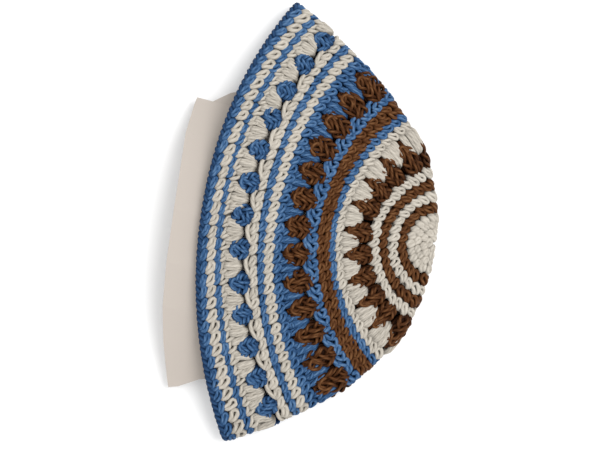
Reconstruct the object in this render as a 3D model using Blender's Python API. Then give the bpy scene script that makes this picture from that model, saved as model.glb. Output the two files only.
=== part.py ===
# Crocheted kippah skullcap lying on its side over a bent card insert

import bpy
import numpy as np

for item in list(bpy.data.objects):
    bpy.data.objects.remove(item, do_unlink=True)

# Driving sizes in metres
# The crown points to +X, the opening to -X, and the cap lies flat on Z = 0
half_width_far = 0.1218
half_width_near = 0.1293
crown_reach = 0.0993
fold_radius = 0.0040
wall = 0.0044
bobble_out = 0.0050
top_rise = 0.0205
seam_gap = 0.0005
fold_bow_far = 2.11
fold_bow_near = 2.55
lower_tuck = 0.0016

# Edges of the rounds, from the crown to the rim
# width: share of the half width, front: where the upper layer crosses the middle line,
# as a share of crown_reach, pull: 0.71 for a round arc at the crown to 1 for a bow at the rim
EDGES = {
    #              width  front   pull
    "centre":     (0.000, 1.000, 0.71),
    "disc":       (0.133, 0.853, 0.71),
    "brown_1":    (0.189, 0.793, 0.71),
    "white_1":    (0.235, 0.740, 0.71),
    "brown_2":    (0.291, 0.686, 0.72),
    "loops_1":    (0.341, 0.634, 0.73),
    "fans_1":     (0.533, 0.440, 0.78),
    "blue_1":     (0.563, 0.408, 0.80),
    "brown_3":    (0.622, 0.336, 0.84),
    "loops_2":    (0.650, 0.286, 0.86),
    "fans_2":     (0.791, 0.103, 0.92),
    "white_2":    (0.821, 0.045, 0.93),
    "blue_2":     (0.838, 0.013, 0.94),
    "loops_3":    (0.864, -0.038, 0.95),
    "fans_3":     (0.934, -0.190, 0.98),
    "blue_3":     (0.951, -0.222, 0.98),
    "white_3":    (0.976, -0.265, 0.99),
    "rim":        (1.000, -0.316, 1.00),
}
ORDER = list(EDGES)
TABLE = np.array([EDGES[name] for name in ORDER])
INDEX = {name: row for row, name in enumerate(ORDER)}

# Yarn colours
WHITE = (0.72, 0.68, 0.60)
BLUE = (0.07, 0.17, 0.40)
BROWN = (0.15, 0.065, 0.022)
PAPER = (0.66, 0.61, 0.55)

# Plain rounds of single crochet: node, slot, colour, inner edge, outer edge, steps on a layer
PLAIN = [
    ("crown_ring_brown_inner", "brown_yarn", BROWN, "disc", "brown_1", 9),
    ("crown_ring_white_inner", "white_yarn", WHITE, "brown_1", "white_1", 9),
    ("crown_ring_brown_outer", "brown_yarn", BROWN, "white_1", "brown_2", 9),
    ("crown_ring_white_outer", "white_yarn", WHITE, "brown_2", "loops_1", 9),
    ("middle_ring_blue_inner", "blue_yarn", BLUE, "fans_1", "blue_1", 12),
    ("middle_ring_brown", "brown_yarn", BROWN, "blue_1", "brown_3", 12),
    ("middle_ring_blue_outer", "blue_yarn", BLUE, "brown_3", "loops_2", 12),
    ("lower_ring_white_inner", "white_yarn", WHITE, "fans_2", "white_2", 12),
    ("lower_ring_blue", "blue_yarn", BLUE, "white_2", "blue_2", 12),
    ("lower_ring_white_outer", "white_yarn", WHITE, "blue_2", "loops_3", 12),
    ("rim_ring_blue", "blue_yarn", BLUE, "fans_3", "blue_3", 12),
    ("rim_ring_white", "white_yarn", WHITE, "blue_3", "white_3", 12),
    ("rim_edge_blue", "blue_yarn", BLUE, "white_3", "rim", 12),
]

# Rounds of bobbles with fans between them, as shares of the width of the round
# notch: depth of the gap between two bobbles, waist: where two bobbles part,
# tip: far end of a bobble
BOBBLED = [
    # bobble node, slot, colour, fan node, slot, colour, inner, outer, count, notch, waist, tip
    ("bobbles_brown_inner", "brown_yarn", BROWN, "fans_white_inner", "white_yarn", WHITE,
     "loops_1", "fans_1", 20, 0.22, 0.38, 0.78),
    ("bobbles_brown_outer", "brown_yarn", BROWN, "fans_blue", "blue_yarn", BLUE,
     "loops_2", "fans_2", 26, 0.22, 0.36, 0.72),
    ("bobbles_blue", "blue_yarn", BLUE, "fans_white_outer", "white_yarn", WHITE,
     "loops_3", "fans_3", 26, 0.24, 0.36, 0.70),
]


def edge_values(m):
    rows = np.arange(len(TABLE))
    return [np.interp(m, rows, TABLE[:, column]) for column in range(3)]


# Middle surface of the cloth: m counts the edges from the crown, turn goes round once, from
# the middle of the upper layer over the far fold, the lower layer and the near fold
def surface(m, turn):
    width, front, weight = edge_values(m)
    quarter = np.abs((np.asarray(turn) / np.pi + 1) % 2 - 1)
    near = (np.asarray(turn) % (2 * np.pi)) > np.pi
    upper = quarter < 0.5
    share = np.abs(1 - 2 * quarter)
    half_all = np.where(near, half_width_near, half_width_far)
    half = half_all * width
    bow = np.where(near, fold_bow_near, fold_bow_far)
    fold_x = crown_reach * (1 - width ** bow)
    slope = crown_reach * bow * np.maximum(width, 1e-6) ** (bow - 1) / half_all
    steep = np.sqrt(1 + slope ** 2)
    tuck = np.where(upper, 0.0, lower_tuck * width ** 2)
    mid_x = crown_reach * front + tuck
    guide_y = half - (fold_x - mid_x) * slope
    a, b, c = (1 - share) ** 2, 2 * weight * share * (1 - share), share ** 2
    total = a + b + c
    x = (a * fold_x + (b + c) * mid_x) / total
    y = (a * half + b * guide_y) / total
    depth = ((fold_x - x) + (half - y) * slope) / steep
    swing = fold_radius * np.sqrt(1 - (1 - np.clip(depth / fold_radius, 0, 1)) ** 2)
    along = np.clip((1 - front) / 1.316, 0, 1)
    arch = 1 - (y / np.maximum(half, 1e-6)) ** 2
    rise = top_rise * np.sin(np.pi * 0.62 * along ** 0.9) * arch
    z = bobble_out + fold_radius + np.where(upper, swing + rise, -swing)
    return np.stack([x, np.where(near, -y, y), z], axis=-1)


# How many steps of m one metre of cloth takes, at a given place
def steps_per_metre(m, turn):
    low, high = np.maximum(m - 0.1, 0), np.minimum(m + 0.1, len(ORDER) - 1)
    return (high - low) / np.linalg.norm(surface(high, turn) - surface(low, turn), axis=-1)


def normal(m, turn):
    step_m = 0.004 * steps_per_metre(m, turn)
    step_t = 0.03
    low = np.maximum(m - step_m, 0.02)
    high = np.minimum(m + step_m, len(ORDER) - 1)
    along = surface(high, turn) - surface(low, turn)
    across = surface(m, turn + step_t) - surface(m, turn - step_t)
    out = np.cross(across, along)
    return out / np.linalg.norm(out, axis=-1, keepdims=True)


def offset(m, turn, distance):
    return surface(m, turn) + normal(m, turn) * np.reshape(distance, (-1, 1))


# Turns that share the round out in steps of equal length
def even_turns(m, shares):
    fine = np.linspace(0, 2 * np.pi, 1441)
    points = surface(np.full_like(fine, m), fine)
    lengths = np.concatenate([[0], np.cumsum(np.linalg.norm(np.diff(points, axis=0), axis=1))])
    return np.interp(np.asarray(shares) * lengths[-1], lengths, fine)


def material(name, colour):
    found = bpy.data.materials.get(name)
    if found:
        return found
    made = bpy.data.materials.new(name)
    made.use_nodes = True
    shader = made.node_tree.nodes["Principled BSDF"]
    shader.inputs["Base Color"].default_value = (*colour, 1)
    shader.inputs["Roughness"].default_value = 0.9
    return made


def add_object(name, slot, colour, points, faces):
    mesh = bpy.data.meshes.new(name)
    mesh.from_pydata([tuple(float(v) for v in p) for p in points], [], faces)
    mesh.materials.append(material(slot, colour))
    mesh.update()
    item = bpy.data.objects.new(name, mesh)
    bpy.context.scene.collection.objects.link(item)
    return item


# A closed band round the cap: rows of points outside, two rows inside
def add_band(name, slot, colour, outer_rows, inner_rows):
    rows = list(outer_rows) + list(inner_rows)[::-1]
    count = len(rows[0])
    points = [p for row in rows for p in row]
    faces = []
    for r in range(len(rows)):
        low, high = r * count, (r + 1) % len(rows) * count
        last = r == len(rows) - 1
        for i in range(count):
            j = (i + 1) % count
            if last:
                faces.append((low + i, low + j, high + i))
                faces.append((low + j, high + j, high + i))
            else:
                faces.append((low + i, low + j, high + j))
                faces.append((low + i, high + j, high + i))
    return add_object(name, slot, colour, points, faces)


# Turns of a plain round: four on each fold, the others shared out over both layers
def plain_turns(m, count):
    length = np.linalg.norm(surface(m, 0.0) - surface(m, np.pi / 2)) * 1.05
    fold = min(0.5 * fold_radius * np.pi / length, 0.22) * np.pi / 2
    layer = np.linspace(-np.pi / 2 + 2.2 * fold, np.pi / 2 - 2.2 * fold, count)
    corner = np.array([-fold, -fold / 3, fold / 3, fold])
    turns = [layer, corner + np.pi / 2, layer + np.pi, corner + 3 * np.pi / 2]
    return np.sort(np.concatenate(turns) % (2 * np.pi))


def band_edges(inner, outer, turns):
    ones = np.ones_like(turns)
    low, high = INDEX[inner] * ones, INDEX[outer] * ones
    low = low + steps_per_metre(low + 0.05, turns) * seam_gap / 2
    if outer != "rim":
        high = high - steps_per_metre(high - 0.05, turns) * seam_gap / 2
    return low, high


def plain_round(name, slot, colour, inner, outer, count):
    turns = plain_turns(INDEX[outer], count)
    low, high = band_edges(inner, outer, turns)
    middle = (low + high) / 2
    outside = [offset(low, turns, wall * 0.38), offset(middle, turns, wall * 0.56),
               offset(high, turns, wall * 0.38)]
    inside = [offset(low, turns, -wall * 0.5), offset(high, turns, -wall * 0.5)]
    add_band(name, slot, colour, outside, inside)


# Five steps to a repeat: the gap, the two shoulders and the two ends of the flat top
STEPS = np.array([0.0, 0.18, 0.36, 0.64, 0.82])
SWELL = np.array([0.0, 0.55, 1.0, 1.0, 0.55])
CUT_IN = np.array([1.0, 0.22, 0.0, 0.0, 0.22])
FAR = np.array([0.0, 0.58, 1.0, 1.0, 0.58])


def bobbled_round(bobble, bobble_slot, bobble_colour, fan, fan_slot, fan_colour,
                  inner, outer, count, notch, waist, tip):
    shares = (np.arange(count)[:, None] + STEPS[None, :]).ravel() / count
    turns = even_turns((INDEX[inner] + INDEX[outer]) / 2, shares)
    low, high = band_edges(inner, outer, turns)
    width = high - low
    swell, cut, far = [np.tile(row, count) for row in (SWELL, CUT_IN, FAR)]
    near_edge = low + width * notch * cut
    far_edge = low + width * (waist + (tip - waist) * far)
    rows = [(0.0, 0.0), (0.28, 1.0), (0.74, 1.0), (1.0, 0.0)]
    outside = []
    for place, height in rows:
        m = near_edge + (far_edge - near_edge) * place
        rise = wall * 0.5 + (bobble_out - wall * 0.5) * swell * height
        outside.append(offset(m, turns, rise))
    inside = [offset(near_edge, turns, -wall * 0.5), offset(far_edge, turns, -wall * 0.5)]
    add_band(bobble, bobble_slot, bobble_colour, outside, inside)

    start = far_edge + steps_per_metre(far_edge, turns) * seam_gap * 3.2
    outside = [offset(start, turns, wall * 0.5), offset(high, turns, wall * 0.5)]
    inside = [offset(start, turns, -wall * 0.5), offset(high, turns, -wall * 0.5)]
    add_band(fan, fan_slot, fan_colour, outside, inside)


# The white disc at the crown, with a point in the middle of each side
def crown_disc(name, slot, colour, count):
    turns = np.linspace(0, 2 * np.pi, count, endpoint=False)
    low, high = band_edges("centre", "disc", turns)
    ones = np.ones(count)
    rows = [offset(high, turns, -wall * 0.5), offset(high, turns, wall * 0.42),
            offset(0.72 * ones, turns, wall * 0.5), offset(0.4 * ones, turns, wall * 0.5)]
    inside = [offset(0.5 * ones, turns, -wall * 0.5)]
    chain = inside + rows
    points = [p for row in chain for p in row]
    faces = []
    for r in range(len(chain) - 1):
        for i in range(count):
            j = (i + 1) % count
            faces.append(((r + 1) * count + i, (r + 1) * count + j, r * count + j, r * count + i))
    tip_out, tip_in = len(points), len(points) + 1
    base = surface(np.array([0.0]), np.array([0.0]))[0]
    points.append(base + np.array([wall * 0.5, 0, 0]))
    points.append(base - np.array([wall * 0.5, 0, 0]))
    last = (len(chain) - 1) * count
    for i in range(count):
        j = (i + 1) % count
        faces.append((last + i, tip_out, last + j))
        faces.append((j, tip_in, i))
    add_object(name, slot, colour, points, faces)


# The card: place along the opening, left edge and right edge, in shares of crown_reach
CARD = [
    # y       left    right
    (0.0607, -0.472, -0.100),
    (0.0560, -0.480, 0.080),
    (0.0390, -0.495, 0.360),
    (0.0200, -0.487, 0.560),
    (-0.0050, -0.482, 0.600),
    (-0.0350, -0.476, 0.570),
    (-0.0600, -0.460, 0.460),
    (-0.0800, -0.428, 0.220),
    (-0.1000, -0.381, -0.020),
    (-0.1062, -0.364, -0.140),
]
# How far the torn upper and lower ends of the card step up, from the left edge to the right
CARD_TOP_STEPS = (0.0, -0.0010, 0.0055, 0.0088, 0.0100)
CARD_FOOT_STEPS = (0.0, 0.0015, 0.0045, 0.0075, 0.0100)
card_thick = 0.0007
card_floor = 0.0078
card_gap = 0.0016
card_spread = 3.0


# The card presses up under the upper layer and comes down to the lower one at its two ends
def card_height(x, y):
    width = np.interp(-x / crown_reach, -TABLE[:, 1], TABLE[:, 0])
    half = width * (half_width_far if y > 0 else half_width_near)
    along = np.clip((1 - x / crown_reach) / 1.316, 0, 1)
    arch = max(0.0, 1 - (y / half) ** 2)
    rise = top_rise * np.sin(np.pi * 0.62 * along ** 0.9) * arch
    under = bobble_out + 2 * fold_radius + rise - wall / 2 - card_gap - card_thick
    middle = (CARD[0][0] + CARD[-1][0]) / 2
    end = min(1.0, abs(y - middle) / (CARD[0][0] - middle)) ** card_spread
    return under + (card_floor - under) * end


def add_card():
    columns = 5
    top, under = [], []
    for r, (row_y, left, right) in enumerate(CARD):
        for k in range(columns):
            x = crown_reach * (left + (right - left) * k / (columns - 1))
            upper, lower = max(0.0, 1 - r / 2), max(0.0, 1 - (len(CARD) - 1 - r) / 2)
            y = row_y + CARD_TOP_STEPS[k] * upper + CARD_FOOT_STEPS[k] * lower
            z = card_height(x, y)
            under.append((x, y, z))
            top.append((x, y, z + card_thick))
    points = top + under
    shift = len(top)
    rows = len(CARD)
    faces = []
    for r in range(rows - 1):
        for k in range(columns - 1):
            a, b = r * columns + k, r * columns + k + 1
            c, d = b + columns, a + columns
            faces.append((a, d, c, b))
            faces.append((a + shift, b + shift, c + shift, d + shift))
    border = [(0, k) for k in range(columns)] + [(r, columns - 1) for r in range(1, rows)]
    border += [(rows - 1, k) for k in range(columns - 2, -1, -1)]
    border += [(r, 0) for r in range(rows - 2, 0, -1)]
    ring = [r * columns + k for r, k in border]
    for i in range(len(ring)):
        a, b = ring[i], ring[(i + 1) % len(ring)]
        faces.append((a, b, b + shift, a + shift))
    add_object("card_insert", "card", PAPER, points, faces)


crown_disc("crown_disc_white", "white_yarn", WHITE, 24)
for row in PLAIN:
    plain_round(*row)
for row in BOBBLED:
    bobbled_round(*row)
add_card()

# The middle of the whole stands over the origin
everything = [item.data for item in bpy.context.scene.objects if item.type == "MESH"]
corners = np.array([vertex.co[:2] for mesh in everything for vertex in mesh.vertices])
middle = (corners.min(axis=0) + corners.max(axis=0)) / 2
for mesh in everything:
    for vertex in mesh.vertices:
        vertex.co.x -= middle[0]
        vertex.co.y -= middle[1]
    mesh.update()
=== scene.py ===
import math

import bpy
import numpy as np
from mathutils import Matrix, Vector


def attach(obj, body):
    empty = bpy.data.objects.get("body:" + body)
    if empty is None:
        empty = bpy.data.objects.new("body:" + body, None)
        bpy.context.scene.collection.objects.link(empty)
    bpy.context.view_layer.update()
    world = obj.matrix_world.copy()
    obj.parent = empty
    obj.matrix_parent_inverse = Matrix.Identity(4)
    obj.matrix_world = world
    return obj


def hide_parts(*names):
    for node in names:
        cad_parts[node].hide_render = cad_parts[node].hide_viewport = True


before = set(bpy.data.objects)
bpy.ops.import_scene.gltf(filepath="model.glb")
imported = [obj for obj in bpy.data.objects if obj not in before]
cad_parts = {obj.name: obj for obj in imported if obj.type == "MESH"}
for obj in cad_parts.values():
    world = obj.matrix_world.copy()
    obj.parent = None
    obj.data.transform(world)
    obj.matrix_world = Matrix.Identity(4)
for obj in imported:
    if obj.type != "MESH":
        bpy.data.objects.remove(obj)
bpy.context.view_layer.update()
RNG = np.random.default_rng(7)

# Sizes of the lying cap in metres, the same as in the source of the solids: half widths and
# reach, radius of the fold, rise of the upper layer, height of the lower one and how far it is
# tucked in, bend of the two folds, and the shift that puts the part over the origin
HALF_FAR, HALF_NEAR, REACH = 0.1218, 0.1293, 0.0993
FOLD_R = 0.0040
TOP_RISE = 0.0205
BASE = 0.0050
TUCK = 0.0016
BOW_FAR, BOW_NEAR = 2.11, 2.55
SHIFT = np.array([0.026173, -0.003642, 0.0])

# The upper layer rises like a part of a sine along the middle line: share of the half turn
# that it reaches at the rim, and how early it rises
RISE_SHARE, RISE_PULL = 0.62, 0.9

# One unit of cloth length, from the crown along the fold, in metres. A pixel of the picture
# covers as much at the height of the floor
UNIT = 0.00058

# Turn of the two lower bobble rounds against the crown, in repeats
OUTER_PHASE, LOWER_PHASE = -0.20, -0.10

# Edges of the rounds: cloth length from the crown, share of the half width, crossing of the
# middle line as a share of REACH, pull of the curve
EDGES = np.array([
    (0.0, 0.000, 1.000, 0.71),
    (30.0, 0.133, 0.853, 0.71),
    (43.0, 0.189, 0.793, 0.71),
    (54.0, 0.235, 0.740, 0.71),
    (66.5, 0.291, 0.686, 0.72),
    (79.0, 0.341, 0.634, 0.73),
    (131.0, 0.533, 0.440, 0.78),
    (139.5, 0.563, 0.408, 0.80),
    (155.0, 0.622, 0.336, 0.84),
    (165.0, 0.650, 0.286, 0.86),
    (211.0, 0.791, 0.103, 0.92),
    (222.0, 0.821, 0.045, 0.93),
    (228.0, 0.838, 0.013, 0.94),
    (240.0, 0.864, -0.038, 0.95),
    (267.0, 0.934, -0.190, 0.98),
    (277.0, 0.951, -0.222, 0.98),
    (287.0, 0.976, -0.265, 0.99),
    (300.0, 1.000, -0.316, 1.00),
])
LAST = EDGES[-1, 0]
RIM_RUN = 1 - EDGES[-1, 2]


# Monotone cubic through the rows of a table, so the cloth has no creases at its edges
def smooth_column(x, xs, ys):
    h = np.diff(xs)
    d = np.diff(ys) / h
    m = np.zeros_like(ys)
    m[0], m[-1] = d[0], d[-1]
    for i in range(1, len(ys) - 1):
        if d[i - 1] * d[i] > 0:
            w1, w2 = 2 * h[i] + h[i - 1], h[i] + 2 * h[i - 1]
            m[i] = (w1 + w2) / (w1 / d[i - 1] + w2 / d[i])
    k = np.clip(np.searchsorted(xs, x) - 1, 0, len(xs) - 2)
    t = (x - xs[k]) / h[k]
    a = (1 + 2 * t) * (1 - t) ** 2
    b = t * (1 - t) ** 2
    c = t * t * (3 - 2 * t)
    e = t * t * (t - 1)
    return a * ys[k] + b * h[k] * m[k] + c * ys[k + 1] + e * h[k] * m[k + 1]


def surface(length, turn):
    width, front, pull = (smooth_column(length, EDGES[:, 0], EDGES[:, c]) for c in (1, 2, 3))
    quarter = np.abs((turn / np.pi + 1) % 2 - 1)
    near = (turn % (2 * np.pi)) > np.pi
    upper = quarter < 0.5
    share = np.abs(1 - 2 * quarter)
    half_all = np.where(near, HALF_NEAR, HALF_FAR)
    half = half_all * width
    bow = np.where(near, BOW_NEAR, BOW_FAR)
    fold_x = REACH * (1 - width ** bow)
    slope = REACH * bow * np.maximum(width, 1e-6) ** (bow - 1) / half_all
    steep = np.sqrt(1 + slope ** 2)
    mid_x = REACH * front + np.where(upper, 0.0, TUCK * width ** 2)
    guide_y = half - (fold_x - mid_x) * slope
    a, b, c = (1 - share) ** 2, 2 * pull * share * (1 - share), share ** 2
    x = (a * fold_x + (b + c) * mid_x) / (a + b + c)
    y = (a * half + b * guide_y) / (a + b + c)
    depth = ((fold_x - x) + (half - y) * slope) / steep
    swing = FOLD_R * np.sqrt(1 - (1 - np.clip(depth / FOLD_R, 0, 1)) ** 2)
    along = np.clip((1 - front) / RIM_RUN, 0, 1)
    arch = 1 - (y / np.maximum(half, 1e-6)) ** 2
    rise = TOP_RISE * np.sin(np.pi * RISE_SHARE * along ** RISE_PULL) * arch
    z = BASE + FOLD_R + np.where(upper, swing + rise, -swing)
    return np.stack([x, np.where(near, -y, y), z], axis=-1) - SHIFT


# The cloth as a grid: rows by cloth length, columns shared evenly round each row. Its slope is
# taken over a few rows and columns to each side
GRID_STEP = 0.75
LENGTHS = np.arange(GRID_STEP, LAST + 0.01, GRID_STEP)
COLUMNS = 1440
SLOPE_STEPS = 3


def make_grid():
    fine = np.linspace(0, 2 * np.pi, 2 * COLUMNS + 1)
    points = np.zeros((len(LENGTHS), COLUMNS, 3))
    places = np.arange(COLUMNS) / COLUMNS
    for i, length in enumerate(LENGTHS):
        line = surface(np.full_like(fine, length), fine)
        run = np.concatenate([[0], np.cumsum(np.linalg.norm(np.diff(line, axis=0), axis=1))])
        turns = np.interp(places * run[-1], run, fine)
        points[i] = surface(np.full_like(turns, length), turns)
    across = np.roll(points, -SLOPE_STEPS, axis=1) - np.roll(points, SLOPE_STEPS, axis=1)
    rows = np.arange(len(LENGTHS))
    low = np.maximum(rows - SLOPE_STEPS, 0)
    high = np.minimum(rows + SLOPE_STEPS, len(LENGTHS) - 1)
    along = points[high] - points[low]
    normals = np.cross(across, along)
    normals /= np.maximum(np.linalg.norm(normals, axis=-1, keepdims=True), 1e-12)
    return points, normals


GRID, NORMALS = make_grid()


# Place on the cloth and the way out of it: length in units from the crown, share of the round,
# height in metres
def place(length, share, height):
    row = np.clip((length - LENGTHS[0]) / GRID_STEP, 0, len(LENGTHS) - 1.0001)
    i = row.astype(int)
    f = (row - i)[..., None]
    col = (share % 1.0) * COLUMNS
    j = col.astype(int) % COLUMNS
    g = (col - np.floor(col))[..., None]
    k = (j + 1) % COLUMNS

    def blend(table):
        return ((table[i, j] * (1 - g) + table[i, k] * g) * (1 - f)
                + (table[i + 1, j] * (1 - g) + table[i + 1, k] * g) * f)

    spill = np.maximum(length - LAST, 0)[..., None] * UNIT
    outward = blend(GRID) - blend(np.concatenate([GRID[:1], GRID[:-1]]))
    outward /= np.maximum(np.linalg.norm(outward, axis=-1, keepdims=True), 1e-9)
    up = blend(NORMALS)
    return blend(GRID) + outward * spill + up * np.asarray(height)[..., None], up


def smooth_path(points, count):
    """Smooth curves through many rows of control points, with count points to a row."""
    n = points.shape[1]
    padded = np.concatenate([2 * points[:, :1] - points[:, 1:2], points,
                             2 * points[:, -1:] - points[:, -2:-1]], axis=1)
    t = np.linspace(0, n - 1, count)
    k = np.minimum(t.astype(int), n - 2)
    f = (t - k)[None, :, None]
    p0, p1, p2, p3 = (padded[:, k + d] for d in range(4))
    return 0.5 * (2 * p1 + (p2 - p0) * f + (2 * p0 - 5 * p1 + 4 * p2 - p3) * f ** 2
                  + (3 * p1 - p0 - 3 * p2 + p3) * f ** 3)


# A skew direction from which the first ring of a tube is laid, and the longest run of yarn in
# millimetres before a strand begins, so that the plies of neighbours don't line up
ASKEW = np.array([0.31, 0.17, 0.93])
RUN_START = 50


class Yarn:
    """Collects tubes of yarn into one mesh."""

    def __init__(self):
        self.points, self.faces, self.uvs, self.tones, self.painted_lights = [], [], [], [], []
        self.count = 0

    def tubes(self, placed, radius, sides=7, closed=False, tone=None, painted_shading=1.0, soft=0.0):
        """Tubes along placed paths, with painted shade in painted_light: 1 on the side away from the
        cloth, down to soft on the side facing it, and less where painted_shading darkens a strand
        that dips."""
        paths, up = placed
        n = paths.shape[-2]
        radius = np.broadcast_to(radius, paths.shape[:-1]).reshape(-1, n)
        paths, up = paths.reshape(-1, n, 3), up.reshape(-1, n, 3)
        many = len(paths)
        if closed:
            tangent = np.roll(paths, -1, axis=1) - np.roll(paths, 1, axis=1)
        else:
            tangent = np.gradient(paths, axis=1)
        tangent /= np.maximum(np.linalg.norm(tangent, axis=-1, keepdims=True), 1e-12)
        side = np.zeros_like(paths)
        first = np.cross(tangent[:, 0], ASKEW)
        side[:, 0] = first / np.maximum(np.linalg.norm(first, axis=-1, keepdims=True), 1e-9)
        for i in range(1, n):
            s = side[:, i - 1]
            s = s - np.sum(s * tangent[:, i], axis=-1, keepdims=True) * tangent[:, i]
            side[:, i] = s / np.maximum(np.linalg.norm(s, axis=-1, keepdims=True), 1e-9)
        other = np.cross(tangent, side)
        angles = np.arange(sides) / sides * 2 * np.pi
        ring = (side[:, :, None] * np.cos(angles)[None, None, :, None]
                + other[:, :, None] * np.sin(angles)[None, None, :, None])
        verts = paths[:, :, None] + ring * radius[:, :, None, None]
        # Painted light: lighter on the side of a strand away from the cloth, darker towards it
        painted_light = 0.5 + 0.5 * np.sum(ring * up[:, :, None], axis=-1)
        painted_light = soft + (1 - soft) * painted_light
        painted_light *= np.broadcast_to(painted_shading, placed[0].shape[:-1]).reshape(-1, n)[:, :, None]
        steps = np.linalg.norm(np.diff(paths, axis=1), axis=-1)
        run = np.concatenate([np.zeros((many, 1)), np.cumsum(steps, axis=1)], axis=1) * 1000
        run += RNG.uniform(0, RUN_START, (many, 1))
        rows = n if closed else n - 1
        base = (np.arange(many) * n * sides)[:, None, None]
        i = np.arange(rows)[None, :, None]
        j = np.arange(sides)[None, None, :]
        i2, j2 = (i + 1) % n, (j + 1) % sides
        faces = np.stack([base + i * sides + j, base + i * sides + j2,
                          base + i2 * sides + j2, base + i2 * sides + j], axis=-1)
        self.faces.append((faces + self.count).reshape(-1, 4))
        u0 = run[:, :rows, None] + 0 * j
        u1 = (run[:, 1:, None] if not closed else (run[:, :, None] + 1.0)) + 0 * j
        v0 = (j / sides) + 0 * u0
        v1 = ((j + 1) / sides) + 0 * u0
        uv = np.stack([np.stack([u0, v0], -1), np.stack([u0, v1], -1),
                       np.stack([u1, v1], -1), np.stack([u1, v0], -1)], axis=-2)
        self.uvs.append(uv.reshape(-1, 2))
        tone = RNG.uniform(0, 1, many) if tone is None else np.full(many, tone)
        self.tones.append(np.repeat(tone, n * sides))
        self.painted_lights.append(painted_light.ravel())
        self.points.append(verts.reshape(-1, 3))
        self.count += many * n * sides

    def sheet(self, grid, painted_light):
        """A grid of points (rows, columns, 3), closed round, as a plain layer of cloth, painted
        darker as shade by a fixed painted_light value.
        """
        rows, cols, _ = grid.shape
        i = np.arange(rows - 1)[:, None]
        j = np.arange(cols)[None, :]
        j2 = (j + 1) % cols
        faces = np.stack([i * cols + j, i * cols + j2, (i + 1) * cols + j2, (i + 1) * cols + j], -1)
        self.faces.append((faces + self.count).reshape(-1, 4))
        self.uvs.append(np.full((faces.shape[0] * faces.shape[1] * 4, 2), 0.5))
        self.tones.append(np.zeros(rows * cols))
        self.painted_lights.append(np.full(rows * cols, painted_light))
        self.points.append(grid.reshape(-1, 3))
        self.count += rows * cols

    def build(self, name, material):
        points = np.concatenate(self.points)
        faces = np.concatenate(self.faces)
        uvs = np.concatenate(self.uvs)
        mesh = bpy.data.meshes.new(name)
        mesh.vertices.add(len(points))
        mesh.vertices.foreach_set("co", points.astype(np.float32).ravel())
        mesh.loops.add(len(faces) * 4)
        mesh.loops.foreach_set("vertex_index", faces.astype(np.int32).ravel())
        mesh.polygons.add(len(faces))
        mesh.polygons.foreach_set("loop_start", np.arange(len(faces), dtype=np.int32) * 4)
        mesh.polygons.foreach_set("loop_total", np.full(len(faces), 4, np.int32))
        mesh.polygons.foreach_set("use_smooth", np.ones(len(faces), bool))
        layer = mesh.uv_layers.new(name="yarn")
        layer.data.foreach_set("uv", uvs.astype(np.float32).ravel())
        for key, values in (("tone", self.tones), ("painted_light", self.painted_lights)):
            data = mesh.attributes.new(key, "FLOAT", "POINT").data
            data.foreach_set("value", np.concatenate(values).astype(np.float32))
        mesh.update(calc_edges=True)
        mesh.validate()
        mesh.materials.append(material)
        item = bpy.data.objects.new(name, mesh)
        bpy.context.scene.collection.objects.link(item)
        return item


# Radius of the yarn in metres, and the strand that runs under each round of stitches: its
# radius, its depth below the middle of the cloth and how far it waves
YARN = 0.00120
MM = 0.001
CORE_RADIUS, CORE_DEPTH = 1.0 * MM, 1.1 * MM
CORE_WAVE, CORE_WAVE_HEIGHT = 2.4, 0.4 * MM

# The plain layer of cloth under the stitches, below the middle of the cloth, painted dark as the
# shade between stitches
BACKING_DEPTH = 0.2 * MM

# Points along a stitch and round its strand
STITCH_POINTS, STITCH_SIDES = 24, 7

# Paths of the stitches. p counts stitch widths down the round, r rows towards the crown and
# h millimetres above the middle of the cloth
SINGLE = np.array([
    # p     r      h
    (0.42, -0.98, -0.6),
    (0.32, -0.72, 0.9),
    (0.13, -0.44, 1.5),
    (-0.09, -0.23, 1.7),
    (-0.34, -0.10, 1.4),
    (-0.42, 0.16, 1.3),
    (-0.28, 0.38, 1.3),
    (-0.01, 0.34, 1.6),
    (0.19, 0.13, 1.9),
    (0.34, -0.14, 2.0),
    (0.42, -0.36, 1.6),
    (0.46, -0.56, 0.7),
    (0.48, -0.74, -0.6),
])

# A bumpy little stitch for the close disc at the crown
NUB = np.array([
    (0.30, -0.66, -0.2),
    (0.02, -0.34, 1.1),
    (-0.26, -0.02, 1.5),
    (-0.20, 0.30, 1.3),
    (0.06, 0.28, 1.5),
    (0.20, -0.04, 1.6),
    (0.34, -0.46, 0.6),
])

# Over each lace gap: a strand along its crown side, then two stitches that lean together
BRIDGE = np.array([
    (-0.98, -0.46, -0.2),
    (-0.86, -0.80, 1.2),
    (-0.45, -0.92, 1.8),
    (-0.02, -0.88, 1.9),
    (0.40, -0.76, 1.8),
    (0.78, -0.56, 1.5),
    (1.06, -0.30, 0.6),
    (1.14, -0.14, -0.2),
])
FIRST = np.array([
    (-0.86, -0.60, 0.2),
    (-0.62, -0.44, 1.7),
    (-0.30, -0.32, 2.1),
    (-0.02, -0.10, 1.9),
    (-0.14, 0.20, 2.0),
    (-0.42, 0.44, 2.0),
    (-0.72, 0.48, 1.7),
    (-0.80, 0.20, 1.8),
    (-0.72, -0.08, 1.3),
])
SECOND = np.array([
    (-0.14, -0.82, 0.2),
    (0.16, -0.60, 1.8),
    (0.50, -0.40, 2.2),
    (0.84, -0.16, 2.1),
    (1.02, 0.08, 1.7),
    (0.82, 0.30, 2.0),
    (0.52, 0.46, 2.0),
    (0.24, 0.48, 1.7),
    (0.14, 0.22, 1.8),
    (0.24, -0.06, 1.3),
])


def jitter(many, amount):
    return RNG.normal(0, amount, (many, 1))


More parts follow.
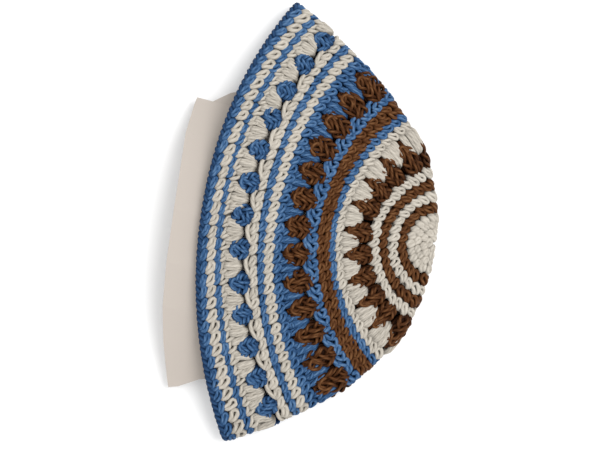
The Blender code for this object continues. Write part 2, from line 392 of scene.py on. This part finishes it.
# One stitch path laid count times round the cap, a little different each time
def stitch_round(yarn, path, centre, row, count, per=1, phase=0.0, radius=YARN, wobble=1.0):
    k = np.arange(count)
    p, r, h = (np.broadcast_to(path[None, :, c], (count, len(path))).copy() for c in range(3))
    p = p * (1 + jitter(count, 0.06 * wobble)) + jitter(count, 0.04 * wobble)
    r = r * (1 + jitter(count, 0.07 * wobble)) + jitter(count, 0.05 * wobble)
    h = h + jitter(count, 0.15 * wobble)
    twist = jitter(count, 0.10 * wobble)
    p, r = p + twist * r, r - twist * p
    p += RNG.normal(0, 0.02 * wobble, p.shape)
    r += RNG.normal(0, 0.02 * wobble, r.shape)
    local = smooth_path(np.stack([p, r, h], -1), STITCH_POINTS)
    share = ((k + phase) / count)[:, None] - local[..., 0] / (count * per)
    placed = place(centre - local[..., 1] * row, share, local[..., 2] * MM)
    ends = np.ones(STITCH_POINTS)
    ends[0] = ends[-1] = 0.35
    ends[1] = ends[-2] = 0.75
    # Painted shade: the lower a point of the stitch lies, the darker it is painted
    yarn.tubes(placed, radius * ends[None, :] * (1 + jitter(count, 0.05)), STITCH_SIDES,
               painted_shading=np.clip((local[..., 2] + 0.9) / 2.5, 0.1, 1))


# A strand that runs round the whole cap, waving once for each stitch
def ring_tube(yarn, length, height, radius, count, wave, wave_h, phase=0.0, per=8, painted_shading=1.0):
    n = count * per
    t = np.arange(n) / n
    a = 2 * np.pi * (t * count + phase)
    placed = place(length + wave * np.sin(a), t, height + wave_h * np.cos(a))
    yarn.tubes(placed, radius, 6, closed=True, tone=0.4, painted_shading=painted_shading)


def core_strand(yarn, length, count):
    ring_tube(yarn, length, -CORE_DEPTH, CORE_RADIUS, count, CORE_WAVE, CORE_WAVE_HEIGHT)


def backing(yarn, low, high):
    lengths = np.linspace(low, high, 3)[:, None]
    shares = np.linspace(0, 1, 240, endpoint=False)[None]
    grid, _ = place(lengths + 0 * shares, shares + 0 * lengths, -BACKING_DEPTH + 0 * lengths * shares)
    yarn.sheet(grid, 0.5)


# Plain rounds: node, slot, edges, thickness of the yarn, then each round as centre, row height
# and stitch count
PLAIN = [
    ("crown_disc_white", "white_yarn", (0.8, 31.0), 1.30,
     [(6.0, 8.5, 6), (12.5, 8.5, 12), (19.5, 8.5, 17), (26.5, 9.0, 23)]),
    ("crown_ring_brown_inner", "brown_yarn", (30.0, 43.5), 1.02, [(37.0, 9.5, 26)]),
    ("crown_ring_white_inner", "white_yarn", (42.5, 54.5), 1.02, [(48.6, 9.5, 32)]),
    ("crown_ring_brown_outer", "brown_yarn", (53.5, 67.0), 1.02, [(60.3, 9.5, 38)]),
    ("crown_ring_white_outer", "white_yarn", (66.0, 79.5), 1.02, [(72.5, 10.5, 44)]),
    ("middle_ring_blue_inner", "blue_yarn", (130.0, 140.0), 1.02, [(136.0, 8.5, 60)]),
    ("middle_ring_brown", "brown_yarn", (139.0, 155.5), 1.02,
     [(143.3, 8.0, 63), (151.0, 7.2, 66)]),
    ("middle_ring_blue_outer", "blue_yarn", (154.5, 162.0), 1.12, []),
    ("lower_ring_white_inner", "white_yarn", (210.5, 222.5), 1.14, [(216.3, 9.8, 78)]),
    ("lower_ring_blue", "blue_yarn", (221.5, 228.5), 1.02, [(224.8, 6.6, 78)]),
    ("lower_ring_white_outer", "white_yarn", (227.5, 236.0), 1.12, []),
    ("rim_ring_blue", "blue_yarn", (266.0, 277.5), 1.02, [(271.8, 9.8, 78)]),
    ("rim_ring_white", "white_yarn", (276.5, 287.5), 1.14, [(281.3, 10.2, 78)]),
    ("rim_edge_blue", "blue_yarn", (286.5, 299.0), 1.02, [(290.6, 7.8, 78)]),
]

# The disc has nubs for stitches. The rim's last round ends in two strands twisted together
DISC = "crown_disc_white"
EDGE = "rim_edge_blue"
EDGE_LENGTH, EDGE_STITCHES = 297.3, 78

# Stitches in each repeat of a round with lace gaps
GAP_STITCHES = 3

# Rounds with a strand along the lace gaps: centre, row height, repeats, phase, and whether
# two of every three stitches lean together under it
PAIRED = {
    "middle_ring_blue_outer": (160.5, 10.0, 26, OUTER_PHASE, True),
    "lower_ring_white_outer": (233.6, 10.0, 26, LOWER_PHASE, False),
}

# Rounds of bobbles and fans: nodes and slots, edges of the round, repeats, phase; half width
# of a bobble in shares of a repeat, its flare towards the crown, its crown and rim ends in
# shares of the round; the fan's tip, its half width there and its height in millimetres; row
# height and stitches of the closing row
BOBBLED = [
    ("bobbles_brown_inner", "brown_yarn", "fans_white_inner", "white_yarn", 79.0, 131.0, 20,
     0.0, (0.46, 0.30, -0.12, 0.82), (0.33, 0.26, 3.4), 10.0, 60),
    ("bobbles_brown_outer", "brown_yarn", "fans_blue", "blue_yarn", 165.0, 211.0, 26,
     OUTER_PHASE, (0.48, 0.05, -0.16, 0.81), (0.27, 0.14, 2.2), 10.0, 78),
    ("bobbles_blue", "blue_yarn", "fans_white_outer", "white_yarn", 240.0, 267.0, 26,
     LOWER_PHASE, (0.36, 0.0, -0.10, 0.74), (0.27, 0.12, 3.2), 10.5, 78),
]

# The closing row at the rim side of the fans, in units of cloth length from the round's edge:
# its stitches, the strand under them and the layer behind them
CLOSING_MIDDLE, CLOSING_CORE, CLOSING_DEPTH = 4.5, 5.0, 9.0

# A bobble's height over its own foot and the low end of a fan's posts, in millimetres
BOBBLE_TALL, POST_LOW = 2.6, -0.9

# Half the width of a lane of the plait, in shares of the bobble's half width
LANE_HALF = 0.39

# Middle of a fan's outer posts and half a post's width at the rim side, in shares of a repeat,
# and the far end of the posts in shares of the round
POST_MIDDLE, POST_HALF, POST_END = 0.275, 0.080, 0.90


# Eight strands plaited in two lanes over a low dome, inside a strand that follows the outline,
# with a loop that closes the rim end
def bobble_round(yarn, low, high, count, phase, half, flare, crown, rim):
    width = high - low
    k = (np.arange(count) + phase) / count
    mid, reach = (crown + rim) / 2, (rim - crown) / 2

    # p is a share of the half width, v runs from -1 at the crown end to 1 and h is in millimetres
    def lay(p, v, h):
        centres = k.reshape((-1,) + (1,) * (p.ndim - 1))
        across = p * half * (1 - flare * v)
        return place(low + (mid + reach * v) * width, centres - across / count, h * MM)

    def dome(p, v):
        return np.sqrt(np.clip(1 - p ** 2 - v ** 2, 0, 1))

    # A low mound under the strands, so that nothing shows through, painted dark as shade
    a = np.linspace(0, 2 * np.pi, 17)[None, None, :-1] + 0 * k[:, None, None]
    q = np.array([0.02, 0.35, 0.65, 0.88, 1.0])[None, :, None]
    mound, _ = lay(0.88 * q * np.cos(a), 0.90 * q * np.sin(a),
                   0.1 + 1.9 * np.sqrt(1 - q ** 2) + 0 * a)
    for grid in mound:
        yarn.sheet(grid, 0.25)

    # The strand round the outline, a little uneven, painted darker as shade where it dips
    a = np.linspace(0, 2 * np.pi, 29)[None, :-1] + 0 * k[:, None]
    depth = RNG.uniform(0.02, 0.06, (count, 1))
    corners = 1 + depth * np.cos(5 * a + RNG.normal(0, 0.5, (count, 1)))
    corners = corners + RNG.normal(0, 0.03, (count, 1)) * np.cos(2 * a)
    edge = lay(0.82 * corners * np.sin(a), 0.82 * corners * np.cos(a), 0.7 * np.cos(5 * a))
    yarn.tubes(edge, YARN, 7, closed=True, painted_shading=0.62 + 0.25 * np.cos(5 * a))

    # The plait, painted darker as shade where its strands dip and towards their ends
    t = np.linspace(0, 1, 25)[None, None]
    lane = np.repeat([-1.0, 1.0], 4)[None, :, None]
    part = np.tile([0, 1, 2, 3], 2)[None, :, None] / 4
    start = RNG.uniform(0, 1, (count, 2)).repeat(4, axis=1)[:, :, None]
    turns = RNG.uniform(0.85, 1.25, (count, 1, 1))
    lean = RNG.normal(0, 0.30, (count, 1, 1))
    aside = RNG.normal(0, 0.10, (count, 1, 1))
    body = np.sqrt(1 - 0.95 * (2 * t - 1) ** 2)
    angle = 2 * np.pi * (turns * t + part + start + RNG.normal(0, 0.05, (count, 8, 1))) * lane
    v = (2 * t - 1) * 0.86 + 0.05 * np.cos(angle)
    p = LANE_HALF * (lane * body ** 0.6 + body * np.sin(angle)) + aside * body
    p = p + RNG.normal(0, 0.03, (count, 8, 1))
    p, v = p * np.cos(lean) - v * np.sin(lean), p * np.sin(lean) + v * np.cos(lean)
    h = 0.5 + BOBBLE_TALL * dome(p * 0.92, v) + 0.9 * np.sin(2 * angle) * body
    h = h - 1.6 * (1 - body) ** 2
    taper = 0.6 + 0.4 * np.minimum(1, np.minimum(t, 1 - t) * 7) + 0 * h
    yarn.tubes(lay(p, v, h), 0.86 * YARN * taper, 6,
               painted_shading=(0.74 + 0.26 * np.sin(2 * angle)) * body ** 0.3)

    # The loop at the rim end
    s = np.linspace(-1, 1, 18)[None] + 0 * k[:, None]
    tilt = RNG.normal(0, 0.15, (count, 1))
    p = 0.44 * np.sin(s * 1.75) + tilt
    v = 0.652 - 0.374 * (1 - np.cos(s * 1.75))
    h = 1.1 + BOBBLE_TALL * 0.9 * dome(p * 0.9, v)
    ends = 0.5 + 0.5 * np.minimum(1, (1 - np.abs(s)) * 6)
    yarn.tubes(lay(p, v, h), YARN * ends, 7)


# Three posts of three strands each, from a blunt tip out to the rim side
def fan_round(yarn, low, high, count, phase, tip, blunt, tall):
    width = high - low
    k = (np.arange(count) + phase + 0.5) / count
    t = np.linspace(0, 1, 20)[None, None]
    post = np.repeat([-1.0, 0.0, 1.0], 3)[None, :, None]
    strand = np.tile([-1.0, 0.0, 1.0], 3)[None, :, None]
    belly = np.sin(np.pi * np.clip(0.12 + 0.80 * t, 0, 1))
    spread = blunt * 0.75 + (POST_MIDDLE - blunt * 0.75) * np.sqrt(t * (2 - t))
    p = post * spread + strand * (0.25 * blunt + (POST_HALF - 0.25 * blunt) * belly)
    p = p + RNG.normal(0, 0.008, (count, 9, 1)) + RNG.normal(0, 0.02, (count, 1, 1)) * (1 - t)
    far = POST_END + RNG.normal(0, 0.015, (count, 9, 1))
    near = tip + 0.10 * (post * 0.75 + strand * 0.25) ** 2 + RNG.normal(0, 0.012, (count, 9, 1))
    r = near + (far - near) * t
    rise = np.minimum(1, t * 6)
    crown = np.minimum(1, 1.5 * np.sin(np.pi * (0.3 + 0.62 * t)))
    h = POST_LOW + tall * np.sqrt(rise * (2 - rise)) * crown
    h = h + 0.5 * (1 - np.abs(strand)) * belly + 0.3 * (1 - np.abs(post))
    h = h + RNG.normal(0, 0.15, (count, 9, 1))
    placed = place(low + r * width, k[:, None, None] - p / count, h * MM)
    taper = 0.80 + 0.20 * rise + 0 * h
    # Painted shade: darker on the outer strands of each post, near the tip and where the strands dip
    # under the closing row
    shade = 1.0 - 0.20 * np.abs(strand) + RNG.normal(0, 0.05, (count, 9, 1))
    shade = shade * (0.6 + 0.4 * rise)
    shade = shade * (1 - 0.5 * np.clip((t - 0.74) / 0.2, 0, 1))
    yarn.tubes(placed, 0.92 * YARN * taper, 6, painted_shading=np.clip(shade, 0.2, 1), soft=0.45)
    # A thick strand under each post, painted darker as shade
    core = np.arange(1, 9, 3)
    placed = place((low + r * width)[:, core], k[:, None, None] - p[:, core] / count,
                   (h[:, core] - 1.2) * MM)
    yarn.tubes(placed, 1.35 * YARN * taper[:, core], 6, painted_shading=0.62)
    # A short strand laid over each post
    s = np.linspace(-1, 1, 10)[None, None]
    post = np.array([-1.0, 0.0, 1.0])[None, :, None]
    slope = RNG.normal(0.10, 0.03, (count, 3, 1))
    p = post * 0.235 + 0.085 * s + 0 * slope
    r = 0.70 + slope * s + 0 * p
    h = 1.4 + 1.3 * np.cos(s * 1.45) + 0 * p
    placed = place(low + r * width, k[:, None, None] - p / count, h * MM)
    ends = 0.5 + 0.5 * np.minimum(1, (1 - np.abs(s)) * 4) + 0 * p
    yarn.tubes(placed, 0.8 * YARN * ends, 6)


# Plies of the yarn, millimetres of yarn to a turn of them, and the grain of the fibres
PLIES, PLY_TURN = 3, 4.6
FIBRE_SCALE, FIBRE_DETAIL = 900, 3

# How light the yarn is in the painted shade between its plies, and what the ply's painted shade, the
# fibres and the strand's own tone add to that
DEEP, PLY_SHARE, FIBRE_SHARE, TONE_SHARE = 0.12, 0.42, 0.60, 0.22


# Plied cotton: helical plies from the yarn's own run and turn, with painted shade between them and on
# the sides of a strand that face the cloth, and a painted highlight at the top of the ramp
def yarn_material(name, painted_shade_colour, middle, painted_highlight_colour, depth):
    mat = bpy.data.materials.new(name)
    mat.use_nodes = True
    nodes, links = mat.node_tree.nodes, mat.node_tree.links
    shader = nodes["Principled BSDF"]

    def math_node(operation, first, second, third=None):
        node = nodes.new("ShaderNodeMath")
        node.operation = operation
        for socket, value in zip(node.inputs, (first, second, third)):
            if isinstance(value, (int, float)):
                socket.default_value = value
            elif value is not None:
                links.new(value, socket)
        return node.outputs[0]

    def attribute(key):
        node = nodes.new("ShaderNodeAttribute")
        node.attribute_name = key
        return node.outputs["Fac"]

    def fibres():
        coord = nodes.new("ShaderNodeTexCoord")
        node = nodes.new("ShaderNodeTexNoise")
        node.inputs["Scale"].default_value = FIBRE_SCALE
        node.inputs["Detail"].default_value = FIBRE_DETAIL
        links.new(coord.outputs["Object"], node.inputs["Vector"])
        return node.outputs["Fac"]

    uv = nodes.new("ShaderNodeUVMap")
    uv.uv_map = "yarn"
    split = nodes.new("ShaderNodeSeparateXYZ")
    links.new(uv.outputs["UV"], split.inputs["Vector"])
    along = math_node("MULTIPLY", split.outputs["X"], 2 * math.pi / PLY_TURN)
    helix = math_node("MULTIPLY_ADD", split.outputs["Y"], 2 * math.pi * PLIES, along)
    ply = math_node("MULTIPLY_ADD", math_node("SINE", helix, 0.0), 0.5, 0.5)
    fibre = fibres()
    # Painted shade in the grooves between the plies
    share = math_node("MULTIPLY_ADD", ply, PLY_SHARE, DEEP)
    share = math_node("MULTIPLY_ADD", fibre, FIBRE_SHARE, share)
    share = math_node("MULTIPLY_ADD", attribute("tone"), TONE_SHARE, share)
    # Painted shade: the colour darkens towards the side of a strand that faces the cloth and where it
    # dips
    painted_light = math_node("POWER", attribute("painted_light"), depth)
    share = math_node("MULTIPLY", share, painted_light)
    # The ramp runs from a painted shade colour through the yarn's own colour to a painted highlight
    # colour
    ramp = nodes.new("ShaderNodeValToRGB")
    ramp.color_ramp.elements.new(0.5)
    for element, colour in zip(ramp.color_ramp.elements, (painted_shade_colour, middle, painted_highlight_colour)):
        element.color = (*colour, 1)
    links.new(share, ramp.inputs["Fac"])
    links.new(ramp.outputs["Color"], shader.inputs["Base Color"])
    shader.inputs["Roughness"].default_value = 0.55
    shader.inputs["Specular IOR Level"].default_value = 0.06
    bump = nodes.new("ShaderNodeBump")
    bump.inputs["Strength"].default_value = 0.4
    bump.inputs["Distance"].default_value = 0.0003
    links.new(math_node("MULTIPLY_ADD", fibre, 0.5, ply), bump.inputs["Height"])
    links.new(bump.outputs["Normal"], shader.inputs["Normal"])
    return mat


# Each yarn: painted shade colour, own colour, painted highlight colour, and how steeply the painted
# shade deepens towards the cloth
MATERIALS = {
    "white_yarn": yarn_material("white_yarn_plied", (0.16, 0.147, 0.128), (0.389, 0.357, 0.307),
                                (0.488, 0.450, 0.391), 1.6),
    "blue_yarn": yarn_material("blue_yarn_plied", (0.003, 0.014, 0.048), (0.033, 0.086, 0.188),
                               (0.098, 0.178, 0.302), 2.4),
    "brown_yarn": yarn_material("brown_yarn_plied", (0.015, 0.004, 0.0010), (0.070, 0.025, 0.0075),
                                (0.155, 0.072, 0.028), 2.3),
}


def add_piece(yarn, slot, node):
    item = yarn.build(node.replace("_", "-") + "-yarn", MATERIALS[slot])
    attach(item, "root")
    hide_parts(node)


# The stitches of a round with lace gaps, and the strand along each gap
def gap_round(yarn, thickness, centre, row, repeats, phase, leaning):
    if leaning:
        stitch_round(yarn, SINGLE, centre, row, repeats, per=GAP_STITCHES, phase=phase,
                     radius=YARN * thickness)
        paths = (BRIDGE, FIRST, SECOND)
    else:
        stitch_round(yarn, SINGLE, centre, row * 0.9, repeats * GAP_STITCHES,
                     phase=phase * GAP_STITCHES, radius=YARN * thickness, wobble=0.7)
        paths = (BRIDGE,)
    for path in paths:
        stitch_round(yarn, path, centre, row, repeats, per=GAP_STITCHES, phase=phase + 0.5,
                     radius=YARN * 1.1, wobble=0.4)


for node, slot, (low, high), thickness, rounds in PLAIN:
    yarn = Yarn()
    for number, (centre, row, count) in enumerate(rounds):
        stitch_round(yarn, NUB if node == DISC else SINGLE, centre, row, count,
                     phase=0.5 if number % 2 else 0.0, radius=YARN * thickness)
        core_strand(yarn, centre, count)
    if node in PAIRED:
        gap_round(yarn, thickness, *PAIRED[node])
    backing(yarn, low, high)
    if node == EDGE:
        # The two twisted strands at the rim are painted darker as shade
        for phase in (0.0, 0.5):
            ring_tube(yarn, EDGE_LENGTH, 0.0, YARN * 1.1, EDGE_STITCHES, 2.2, 1.3 * MM,
                      phase=phase, per=12, painted_shading=0.68)
    add_piece(yarn, slot, node)

for (bobble, bobble_slot, fan, fan_slot, low, high, count, phase, shape, fan_shape, row,
     stitches) in BOBBLED:
    yarn = Yarn()
    bobble_round(yarn, low, high, count, phase, *shape)
    add_piece(yarn, bobble_slot, bobble)
    yarn = Yarn()
    fan_round(yarn, low, high, count, phase, *fan_shape)
    stitch_round(yarn, SINGLE, high - CLOSING_MIDDLE, row, stitches)
    core_strand(yarn, high - CLOSING_CORE, stitches)
    backing(yarn, high - CLOSING_DEPTH, high + 1)
    add_piece(yarn, fan_slot, fan)


# The card insert: the bent sheet of the solids, in matt paper
CARD_COLOUR = (0.442, 0.395, 0.353, 1)


def card_piece():
    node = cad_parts["card_insert"]
    item = node.copy()
    item.data = node.data.copy()
    item.name = "card-sheet"
    # The copy keeps none of the node's own marks
    for key in list(item.keys()):
        del item[key]
    bpy.context.scene.collection.objects.link(item)
    mat = bpy.data.materials.new("card_paper")
    mat.use_nodes = True
    shader = mat.node_tree.nodes["Principled BSDF"]
    shader.inputs["Base Color"].default_value = CARD_COLOUR
    shader.inputs["Roughness"].default_value = 0.95
    item.data.materials.clear()
    item.data.materials.append(mat)
    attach(item, "root")
    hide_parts("card_insert")


card_piece()


# Floor, light and camera
FLOOR_HALF = 3.0
WORLD_LIGHT = 1.08


def add_floor():
    mesh = bpy.data.meshes.new("floor")
    corners = [(x * FLOOR_HALF, y * FLOOR_HALF, 0) for x, y in ((-1, -1), (1, -1), (1, 1), (-1, 1))]
    mesh.from_pydata(corners, [], [(0, 1, 2, 3)])
    mat = bpy.data.materials.new("floor")
    mat.use_nodes = True
    shader = mat.node_tree.nodes["Principled BSDF"]
    shader.inputs["Base Color"].default_value = (0.93, 0.93, 0.93, 1)
    shader.inputs["Roughness"].default_value = 1.0
    shader.inputs["Specular IOR Level"].default_value = 0.0
    mesh.materials.append(mat)
    floor = bpy.data.objects.new("floor", mesh)
    bpy.context.scene.collection.objects.link(floor)


def add_light(name, place_at, target, size, power):
    data = bpy.data.lights.new(name, "AREA")
    data.shape = "DISK"
    data.size = size
    data.energy = power
    light = bpy.data.objects.new(name, data)
    light.location = place_at
    aim = Vector(target) - Vector(place_at)
    light.rotation_euler = aim.to_track_quat("-Z", "Y").to_euler()
    bpy.context.scene.collection.objects.link(light)


add_floor()
add_light("key", (0.55, 0.32, 1.22), (0, 0, 0), 0.8, 10.5)
world = bpy.data.worlds.new("studio")
world.use_nodes = True
world.node_tree.nodes["Background"].inputs["Color"].default_value = (1, 1, 1, 1)
world.node_tree.nodes["Background"].inputs["Strength"].default_value = WORLD_LIGHT
bpy.context.scene.world = world
bpy.context.scene.view_settings.view_transform = "Standard"

# The camera looks straight down, turned so that the crown points right and a little down. The
# cloth's own origin is at a chosen spot of the picture, in pixels from its top left corner
PICTURE_SIZE = np.array([600.0, 450.0])
ORIGIN_SPOT = np.array([261.0, 215.0])
CAMERA_HEIGHT = 0.80
SENSOR = 36.0
ROLL = math.radians(9.4)
camera_data = bpy.data.cameras.new("camera")
camera_data.sensor_width = SENSOR
camera_data.lens = SENSOR * CAMERA_HEIGHT / (PICTURE_SIZE[0] * UNIT)
camera = bpy.data.objects.new("camera", camera_data)
to_crown = np.array([math.cos(ROLL), math.sin(ROLL)])
to_near = np.array([-math.sin(ROLL), math.cos(ROLL)])
offset = PICTURE_SIZE / 2 - ORIGIN_SPOT
spot = np.array([offset @ to_crown, -(offset @ to_near)]) * UNIT - SHIFT[:2]
camera.location = (spot[0], spot[1], CAMERA_HEIGHT)
camera.rotation_euler = (0, 0, ROLL)
bpy.context.scene.collection.objects.link(camera)
bpy.context.scene.camera = camera
